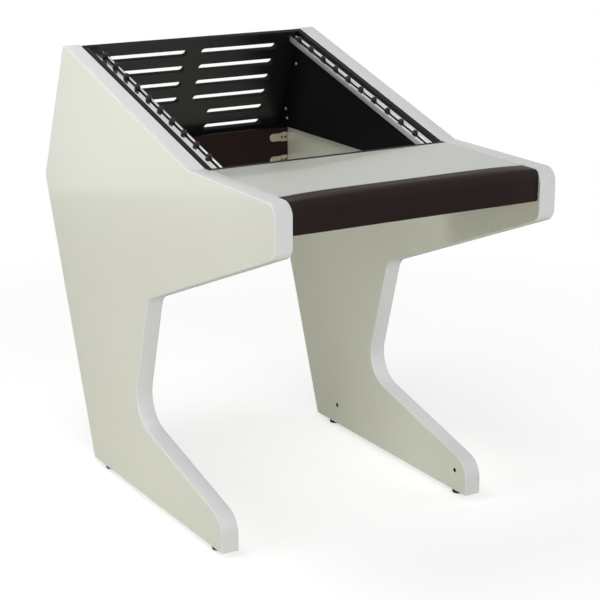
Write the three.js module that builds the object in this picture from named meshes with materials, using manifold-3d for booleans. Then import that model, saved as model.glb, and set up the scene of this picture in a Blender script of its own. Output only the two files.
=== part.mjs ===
import * as THREE from 'three';
import { mergeVertices } from 'three/addons/utils/BufferGeometryUtils.js';
import Module from 'manifold-3d';

// Studio desk in millimetres, +Z up, front towards -Y, origin on the floor under the middle

const wasm = await Module();
wasm.setup();

// Overall sizes
const desk_depth = 1010;
const shelf_height = 732;
const rack_rise = 163;
const rack_hole_spacing = 465.1;
const ground_clearance = 10.5;
const panel_thickness = 36;
const box_board = 12;

// Side panel outline: depths run back from the nose, heights up from the floor
const nose_height = 96;
const rack_bend_depth = 322.5;
const crown_setback = 123;
const bulge_drop = 298;
const bulge_corner_reach = 1.8;
const heel_setback = 214.5;
const toe_depth = 206.5;
const toe_height = 78;
const leg_foot_depth = 208;
const knee_height = 173.5;
const leg_lean = 77.5;
const under_bend_height = 438;
const nose_radius = 27;
const toe_radius = 45;
const knee_radius = 65;
const under_bend_radius = 35;
const rack_bend_radius = 20;
const crown_radius = 12;
const bulge_radius = 25;
const heel_radius = 3;
const panel_edge_round = 1.5;
const panel_arc_steps = 6;

// Fits between pieces, and the overrun of every cut
const fit_gap = 0.3;
const cut_overrun = 5;

// Shelf and padded armrest
const shelf_thickness = 25;
const bend_gap = 7;
const board_edge_round = 1;
const armrest_depth = 55;
const armrest_height = 61;
const armrest_crown = 4;
const armrest_radius = 14;
const armrest_lower_radius = 4;
const armrest_back_radius = 6;
const armrest_core_thickness = 36;
const armrest_top_padding = 12;
const armrest_draw_in = 4;
const armrest_end_gap = 0.5;
const armrest_draw_power = 6;
const armrest_stations = 20;

// Rack box of black boards
const box_front_height = 67;
const rear_board_inset = 12.5;
const rear_board_length = 264;
const slot_width = 15;
const slot_inner_offset = 17.5;
const slot_side_margin = 60.5;
const slot_short_step = 42.5;
const slot_first_drop = 31;
const slot_pitch = 39.3;
const slot_long_rows = 4;
const slot_short_rows = 2;
const slot_arc_steps = 6;

// Rack rails: an aluminium section with a T-slot for the nuts
const rail_hole_margin = 19.45;
const rail_drop = 4.6;
const rail_end_clearance = 13.9;
const rail_width = 27.5;
const rail_depth = 12;
const rail_wall = 2.2;
const rail_leg_height = 28;
const rail_slot_opening = 6.5;
const rail_relief_depth = 0.3;
const rail_relief_clearance = 0.5;
const rail_nut_channel_width = 11.2;
const rail_nut_channel_depth = 4.6;
const rail_tip_channel_width = 6.8;
const rail_tip_channel_depth = 3.2;

// Sliding rack screws and their square nuts
const rack_screw_count = 10;
const rack_screw_front_margin = 53;
const rack_screw_rear_margin = 26;
const rack_tip_clearance = 0.6;
const rack_screw_diameter = 5.7;
const rack_head_diameter = 10.4;
const rack_head_height = 3.6;
const rack_washer_diameter = 12.4;
const rack_washer_thickness = 1.2;

// Rear stretcher and the draw connectors that hold boards between the panels
const stretcher_setback = 36;
const stretcher_thickness = 18;
const stretcher_top_gap = 4;
const stretcher_height = 97;
const stretcher_connector_margin = 22;
const connector_length = 47;
const connector_body_width = 18.5;
const connector_shoulder_width = 21.5;
const connector_shoulder_length = 15;
const connector_height = 9;
const connector_sink = 8;
const connector_recess_depth = 2.5;
const connector_edge_round = 1.2;
const connector_bolt_diameter = 5;
const connector_bolt_in_housing = 13;
const connector_bolt_in_panel = 24;
const connector_screw_shares = [0.13, 0.33];
const connector_end_share = 0.98;

// Screws that hold the rack box to the panels
const screw_diameter = 4;
const screw_head_diameter = 8;
const screw_head_height = 2.6;
const side_screw_length = 38;
const screw_sides = 10;
const round_sides = 12;
const foot_sides = 16;

// Levelling feet with their sleeves, and the inserts low on each panel
const foot_inset = 50;
const foot_diameter = 25;
const foot_top_diameter = 19;
const foot_pad_height = 6.5;
const foot_edge_radius = 1.2;
const foot_stem_diameter = 7.4;
const foot_stem_length = 40;
const foot_sleeve_diameter = 11;
const foot_sleeve_length = 32;
const foot_flange_diameter = 18;
const foot_flange_thickness = 1.4;
const foot_headroom = 8;
const insert_front_inset = 39.5;
const insert_rear_inset = 86.5;
const insert_height = 55;
const insert_diameter = 9;
const insert_bore = 6;
const insert_length = 13;

// Sizes that follow from the ones above
const box_half = rack_hole_spacing / 2 + rail_hole_margin;
const inner_half = box_half + box_board;
const panel_middle = inner_half + panel_thickness / 2;
const half_width = inner_half + panel_thickness;
const crown_height = shelf_height + rack_rise;
const crown_depth = desk_depth - crown_setback;
const bulge_height = crown_height - bulge_drop;
const bulge_depth = desk_depth + bulge_corner_reach;
const heel_depth = desk_depth - heel_setback;
const knee_depth = heel_depth - leg_foot_depth;
const under_bend_depth = knee_depth - leg_lean;
const nose_bottom_height = shelf_height - nose_height;
const slope_angle = Math.atan2(rack_rise, crown_depth - rack_bend_depth);
const slope_length = Math.hypot(rack_rise, crown_depth - rack_bend_depth);
const rear_angle = Math.atan2(bulge_depth - crown_depth, bulge_drop);
const shelf_bottom = shelf_height - shelf_thickness;
const shelf_front = yAt(armrest_depth);
const box_front = yAt(rack_bend_depth - bend_gap);
const shelf_back = box_front - box_board;
const box_bottom_height = shelf_height - box_front_height;
const armrest_bottom = shelf_height - armrest_height;
const armrest_top = shelf_height + armrest_crown;
const stretcher_top_height = box_bottom_height - stretcher_top_gap;
const stretcher_back = rearEdgeAt(stretcher_top_height) - stretcher_setback;
const stretcher_front = stretcher_back - stretcher_thickness;

// The rear board's front face in the rear frame, and where it meets the slope and the box's bottom
const rear_face = -(rear_board_inset + box_board);
const rear_edge_top = -rear_face * Math.tan(rear_angle - slope_angle);
const rear_edge_bottom = (box_bottom_height - crown_height - rear_face * Math.sin(rear_angle))
  / Math.cos(rear_angle);
const rail_end = slope_length + rear_face / Math.cos(rear_angle - slope_angle) - rail_end_clearance;
const rail_length = rail_end + bend_gap;
const rack_screw_first = rack_screw_front_margin - bend_gap;
const rack_screw_pitch = (rail_end - rack_screw_rear_margin - rack_screw_first) / (rack_screw_count - 1);

// Y of a point at a depth measured back from the nose
function yAt(depth) {
  return depth - desk_depth / 2;
}

// Y of the leaning rear edge at a height
function rearEdgeAt(height) {
  return yAt(crown_depth) + (crown_height - height) * Math.tan(rear_angle);
}

// Height of the sloping top edge above a given Y
function slopeHeight(y) {
  return shelf_height + (y - yAt(rack_bend_depth)) * Math.tan(slope_angle);
}

// Frame of the sloping rack opening: origin at the bend, +Y up the slope, +Z out of it
const slope_frame = new THREE.Matrix4()
  .makeRotationX(slope_angle)
  .setPosition(0, yAt(rack_bend_depth), shelf_height);

// Frame of the leaning rear edge: origin at the crown, -Z down the edge, +Y out of the back
const rear_frame = new THREE.Matrix4()
  .makeRotationX(rear_angle)
  .setPosition(0, yAt(crown_depth), crown_height);

// Finishes
const finish = (color, roughness, metalness) =>
  new THREE.MeshStandardMaterial({ color, roughness, metalness });
const white_lacquer = finish(0xe8e7e0, 0.18, 0);
const black_board = finish(0x1a1a1c, 0.55, 0);
const brown_board = finish(0x2b201f, 0.5, 0);
const leatherette = finish(0x2a1e1e, 0.5, 0);
const bare_wood = finish(0xb89b72, 0.75, 0);
const aluminium = finish(0xc8cacd, 0.32, 1);
const black_steel = finish(0x16161a, 0.4, 0.6);
const zinc = finish(0xb7ab8d, 0.38, 1);
const steel = finish(0x9a9da0, 0.35, 1);
const black_plastic = finish(0x111111, 0.6, 0);

// An outline of corners [x, y, radius], with an arc of that radius at each corner
function roundedShape(corners) {
  const shape = new THREE.Shape();
  const at = (i) => corners[(i + corners.length) % corners.length];
  corners.forEach(([x, y, radius], i) => {
    const before = new THREE.Vector2(at(i - 1)[0] - x, at(i - 1)[1] - y).normalize();
    const after = new THREE.Vector2(at(i + 1)[0] - x, at(i + 1)[1] - y).normalize();
    if (radius > 0) {
      const half = Math.acos(THREE.MathUtils.clamp(before.dot(after), -1, 1)) / 2;
      const centre = before.clone().add(after).normalize().multiplyScalar(radius / Math.sin(half));
      centre.add(new THREE.Vector2(x, y));
      const tangent = radius / Math.tan(half);
      const start = Math.atan2(y + before.y * tangent - centre.y, x + before.x * tangent - centre.x);
      const end = Math.atan2(y + after.y * tangent - centre.y, x + after.x * tangent - centre.x);
      shape.absarc(centre.x, centre.y, radius, start, end, before.cross(after) > 0);
    } else if (i === 0) {
      shape.moveTo(x, y);
    } else {
      shape.lineTo(x, y);
    }
  });
  shape.closePath();
  return shape;
}

// A slot with round ends, centred on (x, y) and long in X
function obround(x, y, length, width) {
  const reach = (length - width) / 2;
  const path = new THREE.Path();
  path.absarc(x + reach, y, width / 2, -Math.PI / 2, Math.PI / 2, false);
  path.absarc(x - reach, y, width / 2, Math.PI / 2, 1.5 * Math.PI, false);
  path.closePath();
  return path;
}

// A prism of a shape, with its edges rounded over by edge and its outline kept
function prism(shape, length, edge = 0, smooth = 4) {
  const geometry = new THREE.ExtrudeGeometry(shape, {
    depth: length - 2 * edge,
    bevelEnabled: edge > 0,
    bevelSize: edge,
    bevelThickness: edge,
    bevelOffset: -edge,
    bevelSegments: 1,
    curveSegments: smooth,
  });
  return geometry.translate(0, 0, edge);
}

// The prism of a (y, z) outline, running along X from x
function prismX(shape, x, length, edge, smooth) {
  const turn = new THREE.Matrix4().makeBasis(
    new THREE.Vector3(0, 1, 0),
    new THREE.Vector3(0, 0, 1),
    new THREE.Vector3(1, 0, 0),
  );
  return prism(shape, length, edge, smooth).applyMatrix4(turn).translate(x, 0, 0);
}

// The prism of an (x, z) outline, running along Y from y
function prismY(shape, y, length, edge, smooth) {
  return prism(shape, length, edge, smooth).rotateX(Math.PI / 2).translate(0, y + length, 0);
}

// A solid of revolution about Z from points [radius, z]
function turned(points, sides) {
  const profile = points.map(([radius, z]) => new THREE.Vector2(radius, z));
  return new THREE.LatheGeometry(profile, sides).rotateX(Math.PI / 2);
}

// A round rod whose axis starts at the origin and runs up Z
function rod(radius, length, sides = screw_sides) {
  return new THREE.CylinderGeometry(radius, radius, length, sides)
    .rotateX(Math.PI / 2)
    .translate(0, 0, length / 2);
}

// Turns a piece made along Z so that it runs along a direction, and moves it to a point
function aimed(geometry, direction, point) {
  const turn = new THREE.Quaternion().setFromUnitVectors(
    new THREE.Vector3(0, 0, 1),
    new THREE.Vector3(...direction).normalize(),
  );
  return geometry.applyQuaternion(turn).translate(...point);
}

// Boolean work: a closed geometry as a solid, and a solid as a geometry
function solidOf(geometry) {
  const plain = geometry.clone();
  plain.deleteAttribute('normal');
  plain.deleteAttribute('uv');
  const merged = mergeVertices(plain);
  return new wasm.Manifold(new wasm.Mesh({
    numProp: 3,
    vertProperties: new Float32Array(merged.attributes.position.array),
    triVerts: new Uint32Array(merged.index.array),
  }));
}

function geometryOf(solid) {
  const mesh = solid.getMesh();
  const geometry = new THREE.BufferGeometry();
  geometry.setAttribute('position', new THREE.BufferAttribute(mesh.vertProperties, 3));
  geometry.setIndex(new THREE.BufferAttribute(mesh.triVerts, 1));
  const faceted = geometry.toNonIndexed();
  faceted.computeVertexNormals();
  return faceted;
}

function cut(geometry, tools) {
  let solid = solidOf(geometry);
  for (const tool of tools) solid = solid.subtract(solidOf(tool));
  return geometryOf(solid);
}

const desk = new THREE.Group();
desk.name = 'studio_desk';

function add(name, geometry, material, parent = desk) {
  const mesh = new THREE.Mesh(geometry, material);
  mesh.name = name;
  parent.add(mesh);
  return mesh;
}

const sides = { left: -1, right: 1 };

// Round-headed screw with its head on the XY plane and its tip at -length
function domedScrew(length) {
  return turned([
    [0, -length],
    [screw_diameter / 2, screw_diameter - length],
    [screw_diameter / 2, 0],
    [screw_head_diameter / 2, 0],
    [screw_head_diameter / 2, screw_head_height / 2],
    [screw_head_diameter / 4, screw_head_height],
    [0, screw_head_height],
  ], screw_sides);
}

// Screws through the rack box's side boards into the panels, near the rear board
const side_screw_edge_shares = [0.705, 0.218, 0.147];
const side_screw_setbacks = [20.5, 19.5, 32.6];

// A point of the rear frame, in the desk's own
function rearPoint(x, y, z) {
  return new THREE.Vector3(x, y, z).applyMatrix4(rear_frame);
}

function sideScrewPlaces(side) {
  return side_screw_edge_shares.map((share, i) => {
    const z = THREE.MathUtils.lerp(rear_edge_bottom, rear_edge_top, share);
    return rearPoint(side * box_half, rear_face - side_screw_setbacks[i], z);
  });
}

// Connector frames: origin on the pocket's floor at the panel, +X to the panel, +Z forwards
const connector_heights = [
  stretcher_top_height - stretcher_connector_margin,
  stretcher_top_height - stretcher_height + stretcher_connector_margin,
];

function connectorFrames(side) {
  const to_panel = new THREE.Vector3(side, 0, 0);
  const forwards = new THREE.Vector3(0, -1, 0);
  const across = forwards.clone().cross(to_panel);
  return connector_heights.map((z) => new THREE.Matrix4()
    .makeBasis(to_panel, across, forwards)
    .setPosition(side * inner_half, stretcher_front + connector_sink, z));
}

const connector_screw_offsets = connector_screw_shares.map((share) => -share * connector_length);

// Feet stand under the panels, a set distance in from toe and heel
const foot_ys = { front: yAt(toe_depth) + foot_inset, rear: yAt(heel_depth) - foot_inset };

const insert_ys = { front: yAt(toe_depth) + insert_front_inset, rear: yAt(heel_depth) - insert_rear_inset };

// Side panels, glued from two sheets, rounded over and lacquered
const panel_corners = [
  [yAt(heel_depth), ground_clearance, heel_radius],
  [yAt(toe_depth), ground_clearance, heel_radius],
  [yAt(toe_depth), toe_height, toe_radius],
  [yAt(knee_depth), knee_height, knee_radius],
  [yAt(under_bend_depth), under_bend_height, under_bend_radius],
  [yAt(0), nose_bottom_height, nose_radius],
  [yAt(0), shelf_height, nose_radius],
  [yAt(rack_bend_depth), shelf_height, rack_bend_radius],
  [yAt(crown_depth), crown_height, crown_radius],
  [yAt(bulge_depth), bulge_height, bulge_radius],
];

function sidePanel(side) {
  const x = side > 0 ? inner_half : -half_width;
  const body = prismX(roundedShape(panel_corners), x, panel_thickness, panel_edge_round, panel_arc_steps);
  const inward = [side, 0, 0];
  const tools = [];
  for (const y of Object.values(insert_ys)) {
    const bore = rod(insert_diameter / 2 + fit_gap, insert_length + fit_gap + cut_overrun, round_sides)
      .translate(0, 0, -cut_overrun);
    tools.push(aimed(bore, inward, [side * inner_half, y, insert_height]));
  }
  for (const place of sideScrewPlaces(side)) {
    const reach = side_screw_length - box_board + fit_gap;
    const bore = rod(screw_diameter / 2 + fit_gap, reach + cut_overrun).translate(0, 0, -cut_overrun);
    tools.push(aimed(bore, inward, [side * inner_half, place.y, place.z]));
  }
  for (const frame of connectorFrames(side)) {
    const bore = rod(connector_bolt_diameter / 2 + fit_gap, connector_bolt_in_panel + fit_gap + cut_overrun)
      .translate(0, 0, -cut_overrun)
      .rotateY(Math.PI / 2)
      .translate(0, 0, connector_height / 2);
    tools.push(bore.applyMatrix4(frame));
  }
  for (const y of Object.values(foot_ys)) {
    const depth = foot_sleeve_length + foot_headroom;
    const bore = rod(foot_sleeve_diameter / 2 + fit_gap, depth + cut_overrun, foot_sides)
      .translate(side * panel_middle, y, ground_clearance - cut_overrun);
    tools.push(bore);
  }
  return cut(body, tools);
}

for (const [hand, side] of Object.entries(sides)) {
  add(`side_panel_${hand}`, sidePanel(side), white_lacquer);
}

// Writing shelf, flush with the panels' top edges
function boardSection(y0, y1, z0, z1, radius = board_edge_round) {
  return roundedShape([[y0, z0, radius], [y1, z0, radius], [y1, z1, radius], [y0, z1, radius]]);
}

const shelf_section = boardSection(shelf_front, shelf_back, shelf_bottom, shelf_height);
add('front_shelf', prismX(shelf_section, -inner_half, 2 * inner_half, 0, 1), white_lacquer);

// Armrest: a wooden core with foam and leatherette over its top and front
const core_front = shelf_front - armrest_core_thickness;
const core_top = shelf_height - armrest_top_padding;
const core_section = boardSection(core_front, shelf_front, armrest_bottom, core_top);
add('armrest_core', prismX(core_section, -inner_half, 2 * inner_half, 0, 1), bare_wood);

function armrestPad() {
  const nose = yAt(0);
  const back = shelf_front;
  const section = roundedShape([
    [nose, armrest_bottom, armrest_lower_radius],
    [core_front, armrest_bottom, 0],
    [core_front, core_top, 0],
    [back, core_top, 0],
    [back, armrest_top, armrest_back_radius],
    [nose, armrest_top, armrest_radius],
  ]);
  const length = 2 * (inner_half - armrest_end_gap);
  const pad = new THREE.ExtrudeGeometry(section, {
    depth: length,
    steps: armrest_stations,
    bevelEnabled: false,
    curveSegments: 5,
  });
  // The cover is drawn in towards both ends, so its front and top swell in the middle
  const places = pad.attributes.position;
  for (let i = 0; i < places.count; i++) {
    const along = Math.abs(places.getZ(i) / length - 0.5) * 2;
    const pull = armrest_draw_in * Math.pow(along, armrest_draw_power);
    const y = places.getX(i);
    const z = places.getY(i);
    const front_share = THREE.MathUtils.clamp((core_front - y) / (core_front - nose), 0, 1);
    const top_share = THREE.MathUtils.clamp((z - core_top) / (armrest_top - core_top), 0, 1);
    places.setX(i, y + pull * front_share);
    places.setY(i, z - pull * top_share);
  }
  const turn = new THREE.Matrix4().makeBasis(
    new THREE.Vector3(0, 1, 0),
    new THREE.Vector3(0, 0, 1),
    new THREE.Vector3(1, 0, 0),
  );
  pad.applyMatrix4(turn).translate(-length / 2, 0, 0);
  pad.computeVertexNormals();
  return pad;
}
add('armrest_pad', armrestPad(), leatherette);

// Rack box: two side boards whose tops follow the slope, with the rear edge cut to the rear board
function rackSideBoard(side) {
  const bend = yAt(rack_bend_depth);
  const rear = (z) => rearPoint(0, rear_face - fit_gap, z);
  const rear_top = rear(rear_edge_top);
  const rear_bottom = rear(rear_edge_bottom);
  const section = roundedShape([
    [box_front, box_bottom_height, 0],
    [rear_bottom.y, box_bottom_height, 0],
    [rear_top.y, slopeHeight(rear_top.y), 0],
    [bend, shelf_height, 0],
    [box_front, shelf_height, 0],
  ]);
  const board = prismX(section, side > 0 ? box_half : -inner_half, box_board, 0, 1);
  const tools = sideScrewPlaces(side).map((place) => {
    const bore = rod(screw_diameter / 2 + fit_gap, box_board + 2 * cut_overrun);
    return aimed(bore.translate(0, 0, -box_board - cut_overrun), [-side, 0, 0], place.toArray());
  });
  return cut(board, tools);
}

for (const [hand, side] of Object.entries(sides)) {
  add(`rack_side_board_${hand}`, rackSideBoard(side), black_board);
}

// Front board of the rack box, behind the shelf
const front_section = boardSection(shelf_back, box_front, box_bottom_height, shelf_height);
add('rack_front_board', prismX(front_section, -inner_half, 2 * inner_half, 0, 1), black_board);

// Rear board with two columns of ventilation slots, modelled in the frame of the rear edge
const rear_group = new THREE.Group();
rear_group.applyMatrix4(rear_frame);
desk.add(rear_group);

function rackRearBoard() {
  const half = inner_half - fit_gap;
  const top = rear_edge_top + cut_overrun;
  const sheet = roundedShape([
    [-half, -rear_board_length, 0],
    [half, -rear_board_length, 0],
    [half, top, 0],
    [-half, top, 0],
  ]);
  const outer_end = inner_half - slot_side_margin;
  const slot_long = outer_end - slot_inner_offset;
  for (let row = 0; row < slot_long_rows + slot_short_rows; row++) {
    const length = row < slot_long_rows ? slot_long : slot_long - slot_short_step;
    const z = -slot_first_drop - row * slot_pitch;
    for (const side of Object.values(sides)) {
      sheet.holes.push(obround(side * (outer_end - length / 2), z, length, slot_width));
    }
  }
  const board = prismY(sheet, rear_face, box_board, 0, slot_arc_steps);
  const to_rear = rear_frame.clone().invert();
  const above = new THREE.BoxGeometry(4 * half_width, desk_depth, crown_height)
    .translate(0, desk_depth / 2, crown_height / 2)
    .applyMatrix4(slope_frame)
    .applyMatrix4(to_rear);
  return cut(board, [above]);
}
add('rack_rear_board', rackRearBoard(), black_board, rear_group);

for (const [hand, side] of Object.entries(sides)) {
  sideScrewPlaces(side).forEach((place, i) => {
    const screw = aimed(domedScrew(side_screw_length), [-side, 0, 0], place.toArray());
    add(`rack_side_screw_${hand}_${i + 1}`, screw, zinc);
  });
}

// Rack rails and everything on them are modelled in the frame of the slope
const slope_group = new THREE.Group();
slope_group.applyMatrix4(slope_frame);
desk.add(slope_group);

// Section of a rail: x inwards from the side board, z up to its face at -rail_drop
function railSection(side) {
  const face = -rail_drop;
  const mid = rail_hole_margin;
  const opening = rail_slot_opening / 2;
  const channel = rail_nut_channel_width / 2;
  const tip = rail_tip_channel_width / 2;
  const lip = rail_depth - rail_wall - rail_nut_channel_depth - rail_tip_channel_depth;
  const channel_top = face - lip;
  const channel_floor = channel_top - rail_nut_channel_depth;
  const tip_floor = channel_floor - rail_tip_channel_depth;
  const box_outer = mid - channel - rail_wall;
  const relief = rack_washer_diameter / 2 + rail_relief_clearance;
  const relief_face = face - rail_relief_depth;
  const points = [
    [0, face],
    [mid - relief, face],
    [mid - relief, relief_face],
    [mid - opening, relief_face],
    [mid - opening, channel_top],
    [mid - channel, channel_top],
    [mid - channel, channel_floor],
    [mid - tip, channel_floor],
    [mid - tip, tip_floor],
    [mid + tip, tip_floor],
    [mid + tip, channel_floor],
    [mid + channel, channel_floor],
    [mid + channel, channel_top],
    [mid + opening, channel_top],
    [mid + opening, relief_face],
    [mid + relief, relief_face],
    [mid + relief, face],
    [rail_width, face],
    [rail_width, face - rail_depth],
    [box_outer, face - rail_depth],
    [box_outer, face - rail_wall],
    [rail_wall, face - rail_wall],
    [rail_wall, face - rail_leg_height],
    [0, face - rail_leg_height],
  ];
  return new THREE.Shape(points.map(([x, z]) => new THREE.Vector2(side * (box_half - x), z)));
}

for (const [hand, side] of Object.entries(sides)) {
  add(`rack_rail_${hand}`, prismY(railSection(side), -bend_gap, rail_length, 0, 1), aluminium, slope_group);
}

// Sliding rack screws: a washer-headed screw above the slot, and a square nut held under its lips
function rackScrew() {
  const seat = fit_gap - rail_relief_depth;
  const washer_top = seat + rack_washer_thickness;
  const head_top = washer_top + rack_head_height;
  const tip = -(rail_depth - rail_wall - rack_tip_clearance);
  const screw = turned([
    [0, tip],
    [rack_screw_diameter / 2, tip],
    [rack_screw_diameter / 2, seat],
    [rack_washer_diameter / 2, seat],
    [rack_washer_diameter / 2, washer_top],
    [rack_head_diameter / 2, washer_top],
    [rack_head_diameter / 2, washer_top + rack_head_height / 2],
    [rack_head_diameter / 4, head_top],
    [0, head_top],
  ], screw_sides);
  const half = rail_nut_channel_width / 2 - fit_gap;
  const thickness = rail_nut_channel_depth - 2 * fit_gap;
  const lip = rail_depth - rail_wall - rail_nut_channel_depth - rail_tip_channel_depth;
  const nut = new THREE.BoxGeometry(2 * half, 2 * half, thickness)
    .translate(0, 0, -lip - fit_gap - thickness / 2);
  return geometryOf(solidOf(screw).add(solidOf(nut)));
}

for (const [hand, side] of Object.entries(sides)) {
  for (let i = 0; i < rack_screw_count; i++) {
    const screw = add(`rack_screw_${hand}_${i + 1}`, rackScrew(), black_steel, slope_group);
    const x = side * rack_hole_spacing / 2;
    screw.position.set(x, rack_screw_first + i * rack_screw_pitch, -rail_drop);
  }
}

// Rear stretcher between the panels
const stretcher_section = boardSection(
  stretcher_front,
  stretcher_front + stretcher_thickness,
  stretcher_top_height - stretcher_height,
  stretcher_top_height,
);

// Outline of a connector from the panel's face inwards, grown by a clearance
function connectorOutline(clearance, end) {
  const body = connector_body_width / 2 + clearance;
  const shoulder = connector_shoulder_width / 2 + clearance;
  const neck = -connector_shoulder_length - clearance;
  const tip = -connector_length - clearance;
  const corner = shoulder - body;
  const end_radius = body * connector_end_share;
  return roundedShape([
    [end, -shoulder, 0],
    [end, shoulder, 0],
    [neck, shoulder, corner],
    [neck - corner, body, 0],
    [tip, body, end_radius],
    [tip, -body, end_radius],
    [neck - corner, -body, 0],
    [neck, -shoulder, corner],
  ]);
}

// The board has a pocket for each connector, open at its ends
function rearStretcher() {
  const pocket = () => prism(connectorOutline(fit_gap, cut_overrun), connector_sink + cut_overrun, 0, 2);
  const frames = Object.values(sides).flatMap(connectorFrames);
  const board = prismX(stretcher_section, -inner_half, 2 * inner_half, 0, 1);
  return cut(board, frames.map((frame) => pocket().applyMatrix4(frame)));
}
add('rear_stretcher', rearStretcher(), brown_board);

// Draw connectors: a rounded zinc housing let into the board and a bolt drawn from the panel
function connectorHousing() {
  const housing = prism(connectorOutline(0, 0), connector_height, connector_edge_round, 2);
  const tools = connector_screw_offsets.map((x) => {
    return rod(screw_head_diameter / 2, connector_recess_depth + cut_overrun)
      .translate(x, 0, connector_height - connector_recess_depth);
  });
  const bolt_bore = rod(connector_bolt_diameter / 2 + fit_gap, connector_bolt_in_housing + cut_overrun)
    .rotateY(Math.PI / 2)
    .translate(-connector_bolt_in_housing - fit_gap, 0, connector_height / 2);
  return cut(housing, [...tools, bolt_bore]);
}

const connector_rows = ['upper', 'lower'];
for (const [hand, side] of Object.entries(sides)) {
  connectorFrames(side).forEach((frame, i) => {
    const bolt = rod(connector_bolt_diameter / 2, connector_bolt_in_housing + connector_bolt_in_panel)
      .rotateY(Math.PI / 2)
      .translate(-connector_bolt_in_housing, 0, connector_height / 2);
    add(`connector_${connector_rows[i]}_${hand}`, connectorHousing().applyMatrix4(frame), zinc);
    add(`connector_bolt_${connector_rows[i]}_${hand}`, bolt.applyMatrix4(frame), steel);
  });
}

// Threaded inserts low on the panels' inner faces, for an accessory
function insert() {
  return turned([
    [insert_bore / 2, 0],
    [insert_diameter / 2, 0],
    [insert_diameter / 2, insert_length],
    [insert_bore / 2, insert_length],
    [insert_bore / 2, 0],
  ], round_sides);
}

for (const [hand, side] of Object.entries(sides)) {
  for (const [end, y] of Object.entries(insert_ys)) {
    const place = [side * inner_half, y, insert_height];
    add(`panel_insert_${end}_${hand}`, aimed(insert(), [side, 0, 0], place), black_steel);
  }
}

// Levelling feet: a sleeve in the panel, and a pad and its threaded stem that screw in and out
const foot_bore = foot_stem_diameter / 2 + fit_gap;

function footSleeve() {
  return turned([
    [foot_bore, ground_clearance - foot_flange_thickness],
    [foot_flange_diameter / 2, ground_clearance - foot_flange_thickness],
    [foot_flange_diameter / 2, ground_clearance],
    [foot_sleeve_diameter / 2, ground_clearance],
    [foot_sleeve_diameter / 2, ground_clearance + foot_sleeve_length],
    [foot_bore, ground_clearance + foot_sleeve_length],
    [foot_bore, ground_clearance - foot_flange_thickness],
  ], foot_sides);
}

function foot() {
  return turned([
    [0, 0],
    [foot_diameter / 2 - foot_edge_radius, 0],
    [foot_diameter / 2, foot_edge_radius],
    [foot_diameter / 2, foot_pad_height / 2],
    [foot_top_diameter / 2, foot_pad_height],
    [foot_stem_diameter / 2, foot_pad_height],
    [foot_stem_diameter / 2, foot_pad_height + foot_stem_length],
    [0, foot_pad_height + foot_stem_length],
  ], foot_sides);
}

for (const [hand, side] of Object.entries(sides)) {
  for (const [end, y] of Object.entries(foot_ys)) {
    const x = side * panel_middle;
    add(`foot_sleeve_${end}_${hand}`, footSleeve(), steel).position.set(x, y, 0);
    add(`foot_${end}_${hand}`, foot(), black_plastic).position.set(x, y, 0);
  }
}

export default desk;
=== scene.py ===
import bmesh
import bpy
import numpy as np
from mathutils import Matrix, Vector
from mathutils.geometry import tessellate_polygon


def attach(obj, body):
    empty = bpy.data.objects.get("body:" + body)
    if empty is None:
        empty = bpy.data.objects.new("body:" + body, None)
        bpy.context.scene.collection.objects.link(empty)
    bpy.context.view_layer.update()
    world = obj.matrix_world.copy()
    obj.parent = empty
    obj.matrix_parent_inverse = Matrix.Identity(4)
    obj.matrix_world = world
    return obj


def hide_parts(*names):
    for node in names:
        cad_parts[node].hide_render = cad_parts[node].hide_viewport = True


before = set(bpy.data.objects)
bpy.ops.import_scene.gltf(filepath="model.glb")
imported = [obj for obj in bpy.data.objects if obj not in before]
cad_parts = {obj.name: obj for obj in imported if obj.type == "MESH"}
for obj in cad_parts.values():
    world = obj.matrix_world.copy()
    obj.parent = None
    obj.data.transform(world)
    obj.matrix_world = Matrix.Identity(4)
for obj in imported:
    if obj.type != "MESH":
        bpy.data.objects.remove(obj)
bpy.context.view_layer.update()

# Side panels: two boards of 36 mm, each glued up from two sheets, routed to one bent outline
# with soft corners, rounded over along every edge and sprayed in a gloss off-white. The feet,
# the inserts and the screws of the box and of the stretcher go into blind bores.


class Link:
    """One output of a node. Sums, differences and products of links add Math nodes."""

    def __init__(self, nodes, socket):
        self.nodes = nodes
        self.socket = socket

    def worked(self, operation, first, second):
        """A Math node on two links or numbers."""
        return self.nodes.node("ShaderNodeMath", {"operation": operation}, {0: first, 1: second})

    def __add__(self, other):
        return self.worked("ADD", self, other)

    def __radd__(self, other):
        return self.worked("ADD", other, self)

    def __sub__(self, other):
        return self.worked("SUBTRACT", self, other)

    def __rsub__(self, other):
        return self.worked("SUBTRACT", other, self)

    def __mul__(self, other):
        return self.worked("MULTIPLY", self, other)

    def __rmul__(self, other):
        return self.worked("MULTIPLY", other, self)


class Nodes:
    """A node tree, to which node() adds every node."""

    def __init__(self, tree):
        self.tree = tree

    def feed(self, node, values):
        """Links or sets each of a node's inputs."""
        for key, value in values.items():
            if isinstance(value, Link):
                self.tree.links.new(value.socket, node.inputs[key])
            else:
                node.inputs[key].default_value = value

    def node(self, kind, settings=None, values=None, output=0):
        """A node of any type, with its settings first and then its inputs."""
        node = self.tree.nodes.new(kind)
        for key, value in (settings or {}).items():
            if key == "stops":
                for stop, (place, level) in zip(node.color_ramp.elements, value):
                    stop.position = place
                    stop.color = (level, level, level, 1)
            else:
                setattr(node, key, value)
        self.feed(node, values or {})
        return Link(self, node.outputs[output])


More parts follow.
